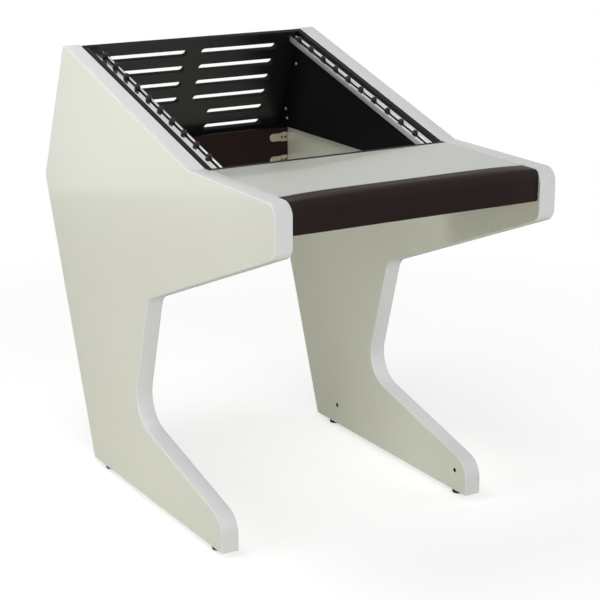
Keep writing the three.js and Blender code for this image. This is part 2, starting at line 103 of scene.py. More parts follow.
class Finish(Nodes):
    """A material with one surface shader."""

    def __init__(self, name, **fixed):
        self.material = bpy.data.materials.new(name)
        self.material.use_nodes = True
        super().__init__(self.material.node_tree)
        self.surface = self.tree.nodes["Principled BSDF"]
        self.set(**fixed)

    def set(self, **values):
        """Inputs of the surface shader, with underscores for the spaces in their names."""
        self.feed(self.surface, {key.replace("_", " "): value for key, value in values.items()})

    def place(self, stretch=(1, 1, 1), turn=(0, 0, 0)):
        """Object coordinates, multiplied by the stretch and then turned."""
        here = self.node("ShaderNodeTexCoord", output="Object")
        values = {"Vector": here, "Scale": stretch, "Rotation": turn}
        return self.node("ShaderNodeMapping", {}, values)

    def noise(self, scale, detail=2, stretch=(1, 1, 1), turn=(0, 0, 0)):
        """Noise over those coordinates, with a finer layer for each step of detail."""
        values = {"Vector": self.place(stretch, turn), "Scale": scale, "Detail": detail}
        return self.node("ShaderNodeTexNoise", {}, values)

    def ramp(self, value, low, high):
        """0 up to the low value, 1 from the high one, and a straight rise between."""
        return self.node("ShaderNodeValToRGB", {"stops": ((low, 0), (high, 1))}, {"Fac": value})

    def blend(self, share, first, second):
        """From the first colour to the second as the share goes from 0 to 1."""
        tones = [tone if isinstance(tone, Link) else (*tone, 1) for tone in (first, second)]
        values = {"Factor": share, 6: tones[0], 7: tones[1]}
        return self.node("ShaderNodeMix", {"data_type": "RGBA"}, values, output=2)

    def facing(self, axis, low, high):
        """A ramp over the share of a face's normal that lies along an axis, either way."""
        normal = self.node("ShaderNodeNewGeometry", output="Normal")
        share = self.node("ShaderNodeSeparateXYZ", {}, {"Vector": normal}, output=axis)
        share = self.node("ShaderNodeMath", {"operation": "ABSOLUTE"}, {0: share})
        return self.ramp(share, low, high)

    def bump(self, height, strength, distance):
        """Normals tilted by the slope of a height, whose full range is the distance."""
        values = {"Height": height, "Strength": strength, "Distance": distance}
        return self.node("ShaderNodeBump", {}, values)

    def onto(self, *pieces):
        """Gives the material to pieces."""
        for piece in pieces:
            if piece.material_slots:
                piece.material_slots[0].material = self.material
            else:
                piece.data.materials.append(self.material)


def rounded_outline(corners, steps=10):
    """Points and outward normals round a closed outline of corners (u, v, radius).

    Each corner is an arc tangent to both of its sides. The outline runs anticlockwise, so a
    normal is the running direction turned right; a hole runs clockwise, so its normals point
    into the hole.
    """
    corners = np.array(corners, float)
    points, normals = [], []
    for i, (u, v, radius) in enumerate(corners):
        here = np.array([u, v])
        before = corners[i - 1, :2] - here
        after = corners[(i + 1) % len(corners), :2] - here
        before /= np.hypot(*before)
        after /= np.hypot(*after)
        half = np.arccos(np.clip(before @ after, -1, 1)) / 2
        centre = here + (before + after) / np.hypot(*(before + after)) * radius / np.sin(half)
        bulge = 1 if before[0] * after[1] - before[1] * after[0] < 0 else -1
        first = np.array([-before[1], before[0]])
        last = np.array([after[1], -after[0]])
        share = np.linspace(0, 1, steps + 1)[:, None]
        bend = np.pi - 2 * half
        out = (np.sin((1 - share) * bend) * first + np.sin(share * bend) * last) / np.sin(bend)
        points.append(centre + bulge * radius * out)
        normals.append(out)
    return np.concatenate(points), np.concatenate(normals)


def made(name, corners, faces, smooth=None):
    """A piece from lists of corners and faces, smooth where marked, its normals outwards."""
    mesh = bpy.data.meshes.new(name)
    mesh.from_pydata(corners, [], faces)
    flags = np.ones(len(mesh.polygons), bool) if smooth is None else np.array(smooth)
    mesh.polygons.foreach_set("use_smooth", flags)
    shell = bmesh.new()
    shell.from_mesh(mesh)
    bmesh.ops.remove_doubles(shell, verts=shell.verts, dist=1e-6)
    bmesh.ops.recalc_face_normals(shell, faces=shell.faces)
    shell.to_mesh(mesh)
    shell.free()
    piece = bpy.data.objects.new(name, mesh)
    bpy.context.collection.objects.link(piece)
    return piece


def across(first, rings, count):
    """Four-cornered faces of a grid of rings, each of count corners and closed on itself."""
    ring, step = np.meshgrid(np.arange(rings - 1), np.arange(count), indexing="ij")
    here = first + ring * count
    above = here + count
    after = (step + 1) % count
    faces = np.stack([here + step, here + after, above + after, above + step], axis=-1)
    return faces.reshape(-1, 4).tolist()


sliver, crease = 1e-14, np.radians(32)


def board(name, outlines, low, high, arris, to_space, steps=5):
    """A board of one thickness, from an outline and any holes, with its arrises rounded over.

    Each edge is a grid: along the outline one way, and across the edge the other, where the
    inset falls from the arris radius to nothing and rises again as two quarter circles. The
    first and last rings of all the edges bound the two flat faces, which are filled.
    to_space turns arrays of (u, v, depth) into x, y and z. The arris is one radius, or one for
    each face.
    """
    low_arris, high_arris = np.broadcast_to(arris, 2)
    rise = np.linspace(0, np.pi / 2, steps + 1)
    fall = rise[::-1]
    inset = np.concatenate([low_arris * (1 - np.sin(rise)), high_arris * (1 - np.sin(fall))])
    depth = np.concatenate([low + low_arris * (1 - np.cos(rise)),
                            high - high_arris * (1 - np.cos(fall))])
    rings = len(inset)
    corners, faces, first = [], [], 0
    ends = ([], [])
    for points, normals in outlines:
        flat = points[None] - inset[:, None, None] * normals[None]
        level = np.broadcast_to(depth[:, None, None], (rings, len(points), 1))
        corners.append(np.concatenate([flat, level], axis=2).reshape(-1, 3))
        faces += across(first, rings, len(points))
        ring = first + np.arange(len(points))
        ends[0].append(ring)
        ends[1].append(ring + (rings - 1) * len(points))
        first += rings * len(points)
    corners = np.concatenate(corners)
    rounded = len(faces)
    for loops in ends:
        order = np.concatenate(loops)
        flat = [np.pad(corners[loop, :2], ((0, 0), (0, 1))).tolist() for loop in loops]
        triangles = order[np.array(tessellate_polygon(flat))]
        side = corners[triangles[:, 1], :2] - corners[triangles[:, 0], :2]
        other = corners[triangles[:, 2], :2] - corners[triangles[:, 0], :2]
        wide = np.abs(side[:, 0] * other[:, 1] - side[:, 1] * other[:, 0]) > sliver
        faces += triangles[wide].tolist()
    smooth = np.arange(len(faces)) < rounded
    return made(name, np.stack(to_space(*corners.T), axis=1).tolist(), faces, smooth)


def turned(name, profile, origin=(0, 0, 0), axis=(0, 0, 1), sides=48, cross=None):
    """A closed surface of revolution: (radius, height) along a profile turned about an axis.

    A cross, given as half an arm's width, its reach, its depth and the height that it starts
    from, sinks the crown where the point lies within both limits, with a short soft step.
    """
    radius, height = np.array(profile, float).T
    turn = np.linspace(0, 2 * np.pi, sides + 1)[:-1]
    x, y = radius[:, None] * np.cos(turn), radius[:, None] * np.sin(turn)
    z = np.broadcast_to(height[:, None], x.shape).copy()
    if cross:
        half, reach, sink, floor = cross
        soft = half / 4
        narrow = np.clip((half - np.minimum(abs(x), abs(y))) / soft + 0.5, 0, 1)
        within = np.clip((reach - np.maximum(abs(x), abs(y))) / soft + 0.5, 0, 1)
        z -= sink * narrow * within * (z > floor)
    to_axis = Vector((0, 0, 1)).rotation_difference(Vector(axis)).to_matrix()
    corners = np.stack([x, y, z], -1).reshape(-1, 3) @ np.array(to_axis).T + np.array(origin)
    piece = made(name, corners.tolist(), across(0, len(radius), sides))
    piece.data.set_sharp_from_angle(angle=crease)
    return piece


def drill(radius, start, end, origin, axis=(0, 0, 1)):
    """A plain cylinder to bore with, from start to end along an axis through a point."""
    return turned("bore", [(0, start), (radius, start), (radius, end), (0, end)], origin, axis)


def joined(name, *pieces):
    """One piece from several."""
    shell = bmesh.new()
    for piece in pieces:
        shell.from_mesh(piece.data)
        bpy.data.objects.remove(piece)
    mesh = bpy.data.meshes.new(name)
    shell.to_mesh(mesh)
    shell.free()
    whole = bpy.data.objects.new(name, mesh)
    bpy.context.collection.objects.link(whole)
    return whole


def bored(piece, *tools):
    """Takes the tools' space out of a piece."""
    for tool in tools:
        cut = piece.modifiers.new("bore", "BOOLEAN")
        cut.operation = "DIFFERENCE"
        cut.solver = "EXACT"
        cut.object = tool
    bpy.context.view_layer.update()
    ready = piece.evaluated_get(bpy.context.evaluated_depsgraph_get())
    mesh = bpy.data.meshes.new_from_object(ready)
    piece.modifiers.clear()
    piece.data = mesh
    for tool in tools:
        bpy.data.objects.remove(tool)
    return piece


def given(piece, finish, slot, body, *nodes):
    """Finishes a piece, hides the nodes it stands for and ties it to a body. The slot is not used.
    """
    finish.onto(piece)
    if nodes:
        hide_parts(*nodes)
    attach(piece, body)


sides = {"left": -1, "right": 1}
inner_x, panel_x, outer_x = 0.264, 0.282, 0.300
nose_y, toe_y, bend_y, crown_y, bulge_y = -0.505, -0.2985, -0.1825, 0.382, 0.5068
panel_low, bulge_z, shelf_top, crown_z = 0.0105, 0.597, 0.732, 0.895
panel_corners = [
    (0.2905, panel_low, 0.003), (bulge_y, bulge_z, 0.025), (crown_y, crown_z, 0.012),
    (bend_y, shelf_top, 0.020), (nose_y, shelf_top, 0.027), (nose_y, 0.636, 0.027),
    (0.005, 0.438, 0.035), (0.0825, 0.1735, 0.065), (toe_y, 0.078, 0.045),
    (toe_y, panel_low, 0.003),
]
foot_ys = {"front": -0.2485, "rear": 0.2405}
insert_ys = {"front": -0.259, "rear": 0.204}
insert_z = 0.055
side_screw_places = ((0.367, 0.8144), (0.4134, 0.7061), (0.408, 0.6852))
bolt_places = ((0.4295, 0.639), (0.4295, 0.586))


def lacquer(name, broad, light, dark, edge):
    """Sprayed lacquer: a slow drift between two tones on the broad faces, with a faint orange peel.

    The sealed edges are whiter, under a thinner clear coat. A face is broad where its normal
    runs along the named axis. Roughness stays under 0.27, where the denoiser leaves specks.
    """
    finish = Finish(name, Coat_Roughness=0.06, Coat_IOR=1.5)
    flat = finish.facing(broad, 0.7, 0.97)
    tone = finish.blend(finish.ramp(finish.noise(1.7, 3), 0.35, 0.65), light, dark)
    finish.set(
        Base_Color=finish.blend(flat, edge, tone),
        Coat_Weight=flat * 0.3 + 0.2,
        Roughness=finish.noise(9, 4) * 0.05 + 0.2,
        Normal=finish.bump(finish.noise(260, 2), 0.03, 0.00035),
    )
    return finish


edge_white = (0.795, 0.80, 0.82)
panel_lacquer = lacquer("panel lacquer", "X", (0.735, 0.742, 0.645), (0.71, 0.717, 0.62),
                        edge_white)
foot_bore, insert_bore, side_screw_bore, bolt_bore = 0.0058, 0.0048, 0.0023, 0.0028
overrun, foot_bore_length, panel_arris = 0.01, 0.04, 0.002
for hand, side in sides.items():
    panel = board(f"panel_{hand}", [rounded_outline(panel_corners)], inner_x, outer_x,
                  panel_arris, lambda u, v, depth: (side * depth, u, v))
    outwards = (side, 0, 0)
    bores = [drill(foot_bore, -2 * overrun, foot_bore_length, (side * panel_x, y, panel_low))
             for y in foot_ys.values()]
    for places, radius, length in (
        ([(y, insert_z) for y in insert_ys.values()], insert_bore, 0.0133),
        (side_screw_places, side_screw_bore, 0.0263),
        (bolt_places, bolt_bore, 0.0243),
    ):
        bores += [drill(radius, -overrun, length, (side * inner_x, *place), outwards)
                  for place in places]
    given(bored(panel, *bores), panel_lacquer, "white_lacquer", "desk", f"side_panel_{hand}")

# Feet: black plastic pads moulded on threaded steel stems, each in a steel sleeve pressed up
# into the panel's lower edge. Turning a pad by hand levels the desk.


def thread(radius, start, end, pitch=0.00125, cut=0.0007):
    """Profile steps of a thread: the radius falls by the cut at every pitch, as a zigzag."""
    turns = max(int((end - start) / pitch), 1)
    height = np.linspace(start, end, 2 * turns + 1)
    return np.stack([radius - cut * (np.arange(len(height)) % 2), height], axis=1).tolist()


stem_radius, pad_height, stem_top = 0.0037, 0.0065, 0.0465
pad_profile = [
    (0, 0.0004), (0.0095, 0.0004), (0.0102, 0), (0.0114, 0), (0.0120, 0.0003), (0.0124, 0.0009),
    (0.0125, 0.0016), (0.0125, 0.0036), (0.0123, 0.0043), (0.0117, 0.0049), (0.0100, 0.0060),
    (0.0092, pad_height), (stem_radius, pad_height), *thread(stem_radius, pad_height, 0.046),
    (0.0030, stem_top), (0, stem_top),
]
pad_plastic = Finish("foot plastic")
pad_plastic.set(
    Base_Color=pad_plastic.blend(pad_plastic.noise(300, 3), (0.010, 0.010, 0.011),
                                 (0.018, 0.018, 0.019)),
    Roughness=pad_plastic.noise(500, 2) * 0.15 + 0.4,
    Normal=pad_plastic.bump(pad_plastic.noise(1800, 2), 0.15, 0.0002),
)
bright_steel = Finish("bright steel", Metallic=1)
bright_steel.set(
    Base_Color=bright_steel.blend(bright_steel.noise(120, 3), (0.55, 0.56, 0.57),
                                  (0.47, 0.47, 0.48)),
    Roughness=bright_steel.noise(700, 3) * 0.15 + 0.25,
)
for end, y in foot_ys.items():
    for hand, side in sides.items():
        where = (side * panel_x, y, 0)
        foot = f"foot_{end}_{hand}"
        given(turned(f"{foot}_pad", pad_profile, where), pad_plastic, "black_plastic", foot, foot)
        bright_steel.onto(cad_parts[f"foot_sleeve_{end}_{hand}"])

# Threaded inserts: four blackened steel bushes, sunk flush in the panels' inner faces low
# down near the feet, for an accessory between the legs.
insert_steel = Finish("blackened insert", Metallic=0.7)
insert_steel.set(
    Base_Color=insert_steel.blend(insert_steel.noise(900, 2), (0.012, 0.012, 0.013),
                                  (0.03, 0.03, 0.03)),
    Roughness=insert_steel.noise(1200, 2) * 0.2 + 0.35,
)
insert_length = 0.0130
insert_profile = [
    (0, 0.0123), (0.0026, 0.0123), *thread(0.0030, 0.0118, 0.0006, cut=0.0004), (0.0036, 0),
    (0.0044, 0), (0.0045, 0.0001), (0.0045, 0.0128), (0.0043, insert_length), (0, insert_length),
]
for end, y in insert_ys.items():
    for hand, side in sides.items():
        bush = turned(f"insert_{end}_{hand}", insert_profile, (side * inner_x, y, insert_z),
                      (side, 0, 0))
        given(bush, insert_steel, "black_steel", "desk", f"panel_insert_{end}_{hand}")

# Rear stretcher: one dark brown laminated board on edge between the panels, which stiffens
# the desk and closes the back below the rack box.


def laminate(name, light, dark, gloss, stretch, film):
    """Laminated board: a printed grain runs the long way, with the same grain pressed in.

    The film on the faces to the front and the back shines a little; edges and sides stay dull.
    """
    finish = Finish(name, Specular_IOR_Level=0.09, Coat_Roughness=0.3, Coat_IOR=1.6)
    grain = finish.noise(70, 6, stretch)
    finish.set(
        Base_Color=finish.blend(finish.ramp(grain, 0.3, 0.7), light, dark),
        Roughness=finish.noise(12, 4) * 0.12 + gloss,
        Coat_Weight=finish.facing("Y", 0.5, 0.85) * film,
        Normal=finish.bump(grain + finish.noise(1500, 2) * 0.4, 0.10, 0.0003),
    )
    return finish


def oblong(u0, u1, v0, v1, radius, steps=4):
    """Outline of a rectangle between two values of u and two of v, with rounded corners."""
    corners = [(u0, v0, radius), (u1, v0, radius), (u1, v1, radius), (u0, v1, radius)]
    return rounded_outline(corners, steps)


def opening(u0, u1, v0, v1, radius, steps):
    """The same rectangle as a hole, which runs clockwise."""
    corners = [(u0, v0, radius), (u0, v1, radius), (u1, v1, radius), (u1, v0, radius)]
    return rounded_outline(corners, steps)


def connector_outline(clear=0.0, end=0.0):
    """Outline of a connector, grown by a clearance all round.

    A shoulder at the panel steps down to a narrower body with a round end.
    """
    body, shoulder, neck, tip = 0.00925 + clear, 0.01075 + clear, -0.015 - clear, -0.047 - clear
    half = [(end, shoulder, 0.0002), (neck, shoulder, 0.0015), (neck - 0.0015, body, 0.0004),
            (tip, body, body * 0.98)]
    return rounded_outline([(u, -v, radius) for u, v, radius in half[::-1]] + half, steps=8)


pocket_floor, pocket_depth = 0.434, 0.012
stretcher_low, stretcher_high, stretcher_front, stretcher_rear = 0.564, 0.661, 0.426, 0.444
stretcher_arris, pocket_arris = 0.0008, 0.0001
brown_laminate = laminate("brown laminate", (0.021, 0.0088, 0.0078), (0.013, 0.0052, 0.0046),
                          0.45, (0.3, 5, 5), 0.1)
stretcher_outline = oblong(-inner_x, inner_x, stretcher_low, stretcher_high, stretcher_arris)
stretcher = board("stretcher", [stretcher_outline], stretcher_front, stretcher_rear,
                  stretcher_arris, lambda u, v, depth: (u, depth, v))
pockets = [board("pocket", [connector_outline(clear=0.0003, end=0.002)], 0, pocket_depth,
                 pocket_arris,
                 lambda u, v, depth: (side * (inner_x + u), pocket_floor - depth, z + v))
           for side in sides.values() for _, z in bolt_places]
given(bored(stretcher, *pockets), brown_laminate, "brown_board", "desk", "rear_stretcher")

# Draw connectors: two nickel-plated cast housings let into each end of the stretcher. A screw
# holds each in its pocket, and a second one draws in a bolt that is fixed in the panel.
nickel = Finish("dull nickel", Metallic=0.9)
nickel.set(
    Base_Color=nickel.blend(nickel.noise(90, 4), (0.60, 0.55, 0.42), (0.50, 0.46, 0.35)),
    Roughness=nickel.noise(260, 3) * 0.18 + 0.34,
    Normal=nickel.bump(nickel.noise(500, 2), 0.08, 0.0003),
)
screw_black = Finish("blackened screw", Specular_IOR_Level=0.3)
screw_black.set(
    Base_Color=screw_black.blend(screw_black.noise(500, 3), (0.008, 0.008, 0.009),
                                 (0.022, 0.022, 0.023)),
    Roughness=screw_black.noise(700, 2) * 0.2 + 0.3,
)
housing_height, housing_arrises, bolt_reach = 0.009, (0.0003, 0.0012), 0.0133
recess_radius, recess_depth = 0.0029, 0.0029
screw_setbacks = {"screw": 0.0155, "draw": 0.0061}
head_top, head_sink = 0.0006, 0.0019
draw_head = [(0, -0.0009), (0.0026, -0.0009), (0.0026, 0.0003), (0.0024, head_top),
             *[(0.0022 * reach, head_top) for reach in np.linspace(1, 0, 9)]]
forwards = (0, -1, 0)
face = pocket_floor - housing_height
for hand, side in sides.items():
    for row, (bolt_y, z) in zip(("upper", "lower"), bolt_places):
        housing = board(f"connector_housing_{row}_{hand}", [connector_outline()],
                        0, housing_height, housing_arrises,
                        lambda u, v, depth: (side * (inner_x + u), pocket_floor - depth, z + v))
        recesses = [drill(recess_radius, -recess_depth, overrun,
                          (side * (inner_x - setback), face, z), forwards)
                    for setback in screw_setbacks.values()]
        recesses.append(drill(bolt_bore, -bolt_reach, overrun, (side * inner_x, bolt_y, z),
                              (side, 0, 0)))
        given(bored(housing, *recesses), nickel, "zinc", "desk", f"connector_{row}_{hand}")
        bright_steel.onto(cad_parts[f"connector_bolt_{row}_{hand}"])
        for use, setback in screw_setbacks.items():
            head = turned(f"connector_{use}_{row}_{hand}", draw_head,
                          (side * (inner_x - setback), face + head_sink, z), forwards,
                          cross=(0.0004, 0.0015, 0.0008, 0.0001))
            given(head, screw_black, "black_steel", "desk")

# Rack box: black laminated boards of 12 mm. Two side boards lie against the panels under the
# slope, a front board stands behind the shelf, and a leaning rear board has routed slots.
slope = np.arctan2(crown_z - shelf_top, crown_y - bend_y)
lean = np.arctan2(bulge_y - crown_y, crown_z - bulge_z)
box_x, box_low, box_arris = 0.252, 0.665, 0.0006
rear_front, rear_back = -0.0245, -0.0125
front_board_front, front_board_back = -0.2015, -0.1895


def on_slope(x, run, rise):
    """From the frame of the slope: run up it from the bend, rise square out of it."""
    return (x, run * np.cos(slope) - rise * np.sin(slope) + bend_y,
            run * np.sin(slope) + rise * np.cos(slope) + shelf_top)


def on_rear(x, out, up):
    """From the frame of the rear edge: out of the back, and up along it to the crown."""
    return (x, out * np.cos(lean) - up * np.sin(lean) + crown_y,
            out * np.sin(lean) + up * np.cos(lean) + crown_z)


black_laminate = laminate("black laminate", (0.0042, 0.004, 0.006), (0.0026, 0.0025, 0.0038),
                          0.45, (3, 0.4, 3), 0.9)
joint_gap = 0.0003
top_y = on_rear(0, rear_front - joint_gap, -rear_front * np.tan(lean - slope))[1]
top_z = shelf_top + (top_y - bend_y) * np.tan(slope)
low_up = (box_low - crown_z - rear_front * np.sin(lean)) / np.cos(lean)
low_y = on_rear(0, rear_front - joint_gap, low_up)[1]
side_outline = rounded_outline([
    (front_board_back, box_low, box_arris), (low_y, box_low, box_arris),
    (top_y, top_z, box_arris), (bend_y, shelf_top, box_arris),
    (front_board_back, shelf_top, box_arris),
], steps=4)
for hand, side in sides.items():
    side_board = board(f"box_side_{hand}", [side_outline], box_x, inner_x, box_arris,
                       lambda u, v, depth: (side * depth, u, v))
    bores = [drill(side_screw_bore, -overrun, 2 * overrun, (side * box_x, *place), (side, 0, 0))
             for place in side_screw_places]
    given(bored(side_board, *bores), black_laminate, "black_board", "desk",
          f"rack_side_board_{hand}")

front_board = board("box_front", [oblong(-inner_x, inner_x, box_low, shelf_top, box_arris)],
                    front_board_front, front_board_back, box_arris,
                    lambda u, v, depth: (u, depth, v))
given(front_board, black_laminate, "black_board", "desk", "rack_front_board")

vent_outer, vent_half, vent_radius = 0.2035, 0.0075, 0.00749
vent_top, vent_pitch, vent_lengths = -0.031, 0.0393, [0.186] * 4 + [0.1435] * 2
vents = []
for row, length in enumerate(vent_lengths):
    z = vent_top - vent_pitch * row
    for side in sides.values():
        middle = side * (vent_outer - length / 2)
        vents.append(opening(middle - length / 2, middle + length / 2,
                             z - vent_half, z + vent_half, vent_radius, steps=10))


def under_slope(u, v, depth, band=0.004):
    """The rear board's frame, with a band at its top edge sheared into the plane of the slope."""
    return on_rear(u, depth, v - depth * np.tan(lean - slope) * (v > -band))


rear_half, rear_length = 0.2637, 0.264
rear_board = board("box_rear", [oblong(-rear_half, rear_half, -rear_length, 0, box_arris), *vents],
                   rear_front, rear_back, box_arris, under_slope)
given(rear_board, black_laminate, "black_board", "desk", "rack_rear_board")

# Box screws: three plated wood screws through each side board into the panel, by the rear
# board, with pan heads and cross recesses.
plated = Finish("plated screw", Metallic=1)
plated.set(
    Base_Color=plated.blend(plated.noise(400, 3), (0.42, 0.41, 0.40), (0.30, 0.29, 0.28)),
    Roughness=plated.noise(800, 2) * 0.2 + 0.25,
)


def pan_head(radius, height, rings=14):
    """Profile of a pan head from its rim to the middle of its crown.

    A quarter oval, from powers of a cosine and a sine that are under 1 and make it squarer.
    """
    turn = np.linspace(0, np.pi / 2, rings)[:-1]
    oval = np.stack([radius * np.cos(turn) ** 0.7, height * np.sin(turn) ** 0.8], axis=1)
    return [*oval.tolist(), (0, height)]


screw_radius = 0.0020
screw_profile = [(0, -0.038), (screw_radius, -0.034),
                 *thread(screw_radius, -0.034, -0.004, 0.0018, 0.0006), (screw_radius, 0),
                 *pan_head(0.004, 0.0026)]
for hand, side in sides.items():
    for number, place in enumerate(side_screw_places, 1):
        screw = turned(f"box_screw_{hand}_{number}", screw_profile, (side * box_x, *place),
                       (-side, 0, 0), cross=(0.0005, 0.0022, 0.0012, 0.0004))
        given(screw, plated, "zinc", "desk", f"rack_side_screw_{hand}_{number}")

# Writing shelf: a lacquered board of 25 mm between the panels, flush with their top edges. It
# is dowelled into both panels and carries the armrest along its front.
# The shelf has the panels' lacquer painted darker, a shaded copy: painted shade for the weaker
# light on its level top.
shaded_shelf_lacquer = lacquer("shelf lacquer with painted shade", "Z", (0.55, 0.57, 0.515), (0.535, 0.555, 0.50),
                        edge_white)
shelf_front, shelf_low, shelf_corner, shelf_arris = -0.450, 0.707, 0.0015, 0.0016
shelf_outline = oblong(-inner_x, inner_x, shelf_front, front_board_front, shelf_corner)
shelf = board("shelf", [shelf_outline], shelf_low, shelf_top, shelf_arris,
              lambda u, v, depth: (u, v, depth))
given(shelf, shaded_shelf_lacquer, "white_lacquer", "desk", "front_shelf")

# Armrest: a softwood batten dowelled to the front of the shelf, with foam over its top and
# front. Dark brown leatherette is pulled over the foam and tucked in at both panels.
batten_wood = Finish("batten wood")
rings = batten_wood.noise(25, 4, (0.2, 3, 3))
batten_wood.set(
    Base_Color=batten_wood.blend(rings, (0.55, 0.38, 0.20), (0.38, 0.24, 0.12)),
    Roughness=rings * 0.2 + 0.6,
    Normal=batten_wood.bump(rings, 0.2, 0.0004),
)
batten_wood.onto(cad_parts["armrest_core"])

leatherette = Finish("brown leatherette", Specular_IOR_Level=0.14)
pores = leatherette.node("ShaderNodeTexVoronoi", {"feature": "DISTANCE_TO_EDGE"},
                         {"Vector": leatherette.place(), "Scale": 620})
leatherette.set(
    Base_Color=leatherette.blend(leatherette.noise(11, 4), (0.018, 0.0093, 0.0082),
                                 (0.0125, 0.0063, 0.0056)),
    Roughness=leatherette.noise(60, 3) * 0.16 + 0.42,
    Normal=leatherette.bump(leatherette.ramp(pores, 0.0, 0.25) * 0.5 + leatherette.noise(1500, 2),
                            0.2, 0.0004),
)


def armrest_cover(stations=88, around=64):
    """The cover as a grid: a section of foam and batten edges, carried along X.

    Points are spread evenly round the section. Towards both ends the front and the top are
    drawn in by a power of the distance, with small puckers that fade within a few centimetres.
    """
    core_front, core_top, low, high = -0.486, 0.720, 0.671, 0.736
    section, _ = rounded_outline([
        (core_front, low, 0.0005), (core_front, core_top, 0.0005),
        (shelf_front, core_top, 0.0005), (shelf_front, high, 0.006),
        (nose_y, high, 0.014), (nose_y, low, 0.004),
    ], steps=12)
    section = np.vstack([section, section[:1]])
    run = np.concatenate([[0], np.cumsum(np.hypot(*np.diff(section, axis=0).T))])
    even = np.linspace(0, run[-1], around + 1)[:-1]
    y, z = np.interp(even, run, section[:, 0]), np.interp(even, run, section[:, 1])
    half, last = 0.2634, 0.998
    share = np.concatenate([[-1], np.linspace(-last, last, stations - 2), [1]])
    x = half * share
    front = np.clip((core_front - y) / (core_front - nose_y), 0, 1)
    top = np.clip((z - core_top) / (high - core_top), 0, 1)
    ends = (half - abs(x))[:, None]
    inset, draw_in, draw_power = 0.0012, 0.004, 6
    pucker_height, pucker_fade, pucker_waves = 0.00035, 0.012, 520
    pull = draw_in * np.abs(share[:, None]) ** draw_power
    pucker = pucker_height * np.exp(-ends / pucker_fade) * np.sin(even * pucker_waves)
    sink = pull + inset + pucker
    return (np.broadcast_to(x[:, None], (stations, around)),
            y + sink * front, z - sink * top, front, top)


def armrest_pad(frames=20, sideways=0.0002, farthest=0.0016):
    """The cover swelled by a cloth simulation, with the batten's side and the ends held still.

    Every point then moves as the cloth did, but no farther than the two limits.
    """
    x, y, z, front, top = armrest_cover()
    stations, around = x.shape
    corners = np.stack([x, y, z], -1).reshape(-1, 3)
    faces = across(0, stations, around)
    faces += [list(range(around)), list(range((stations - 1) * around, stations * around))]
    pad = made("armrest_cover", corners.tolist(), faces)
    free = np.clip(np.maximum(front, top) * 1.5, 0, 1)
    held = np.broadcast_to(1 - free, (stations, around)).round(3)
    held[[0, -1]] = 1
    group = pad.vertex_groups.new(name="held")
    for level in np.unique(held):
        group.add(np.flatnonzero(held == level).tolist(), float(level), "REPLACE")
    rest = np.empty(len(pad.data.vertices) * 3, np.float32)
    pad.data.vertices.foreach_get("co", rest)
    cloth = pad.modifiers.new("cloth", "CLOTH")
    cloth.settings.vertex_group_mass = "held"
    cloth.settings.use_pressure = True
    cloth.settings.uniform_pressure_force = 4
    cloth.settings.effector_weights.gravity = 0
    cloth.settings.tension_stiffness = cloth.settings.compression_stiffness = 15
    cloth.settings.bending_stiffness = 3
    scene = bpy.context.scene
    for step in range(frames):
        scene.frame_set(step + 1)
    ready = pad.evaluated_get(bpy.context.evaluated_depsgraph_get())
    swelled = np.empty_like(rest)
    ready.data.vertices.foreach_get("co", swelled)
    pad.modifiers.clear()
    scene.frame_set(1)
    move = (swelled - rest).reshape(-1, 3)
    move[:, 0] = np.clip(move[:, 0], -sideways, sideways)
    size = np.linalg.norm(move, axis=1, keepdims=True)
    move *= np.minimum(1, farthest / np.maximum(size, 1e-9))
    pad.data.vertices.foreach_set("co", rest + move.ravel().astype(np.float32))
    smooth = pad.modifiers.new("finer", "SUBSURF")
    smooth.levels = smooth.render_levels = 1
    return pad


pad = armrest_pad()
given(pad, leatherette, "leatherette", "desk", "armrest_pad")

# Rack rails: two extruded aluminium sections up the side boards, with a leg for the wood
# screws and a slot down the face, wider inside, in which square nuts slide.
rail_face, rail_middle = -0.0046, 0.01945
slot_x, slot_half, slot_lip = box_x - rail_middle, 0.0061, 0.0005
rail_metal = Finish("bright aluminium")
drawn = rail_metal.noise(900, 3, (1, 0.006, 1), (-slope, 0, 0))
here = rail_metal.node("ShaderNodeTexCoord", output="Object")
upright = (0, -float(np.sin(slope)), float(np.cos(slope)))
rise = rail_metal.node("ShaderNodeVectorMath", {"operation": "DOT_PRODUCT"},
                       {0: here, 1: upright}, output="Value")
# Mask of the slot's inside, below the face and within the slot's width: there the colour is painted
# near-black and not metal, as painted shade in the channel.
slot_top = float(np.dot(on_slope(0, 0, rail_face - slot_lip), upright))
below = rail_metal.node("ShaderNodeMath", {"operation": "LESS_THAN"}, {0: rise, 1: slot_top})
beside = rail_metal.node("ShaderNodeSeparateXYZ", {}, {"Vector": here}, output="X")
beside = rail_metal.node("ShaderNodeMath", {"operation": "ABSOLUTE"}, {0: beside})
within = rail_metal.node("ShaderNodeMath", {"operation": "COMPARE"},
                         {0: beside, 1: slot_x, 2: slot_half})
slot = below * within
flank = rail_metal.facing("X", 0.5, 0.9)
metal = rail_metal.blend(drawn, (0.80, 0.805, 0.815), (0.66, 0.665, 0.675))
rail_metal.set(
    # Base colour: drawn aluminium, with painted shade in the slot.
    Base_Color=rail_metal.blend(slot, metal, (0.012, 0.012, 0.013)),
    Metallic=1 - slot,
    Roughness=drawn * 0.1 + slot * 0.4 + flank * 0.3 + 0.1,
    Normal=rail_metal.bump(drawn, 0.05, 0.0002),
)
rail_start, rail_end, rail_arris, rail_corner = -0.007, 0.549, 0.0001, 0.00012
rail_width, rail_depth, rail_wall, rail_leg = 0.0275, 0.012, 0.0022, 0.028
channel_side = rail_middle - 0.0078
half_channel = [
    (0.0067, 0), (0.0067, -0.0003), (0.00325, -0.0003), (0.00325, -0.002), (0.0056, -0.002),
    (0.0056, -0.0066), (0.0034, -0.0066), (0.0034, -0.0098),
]
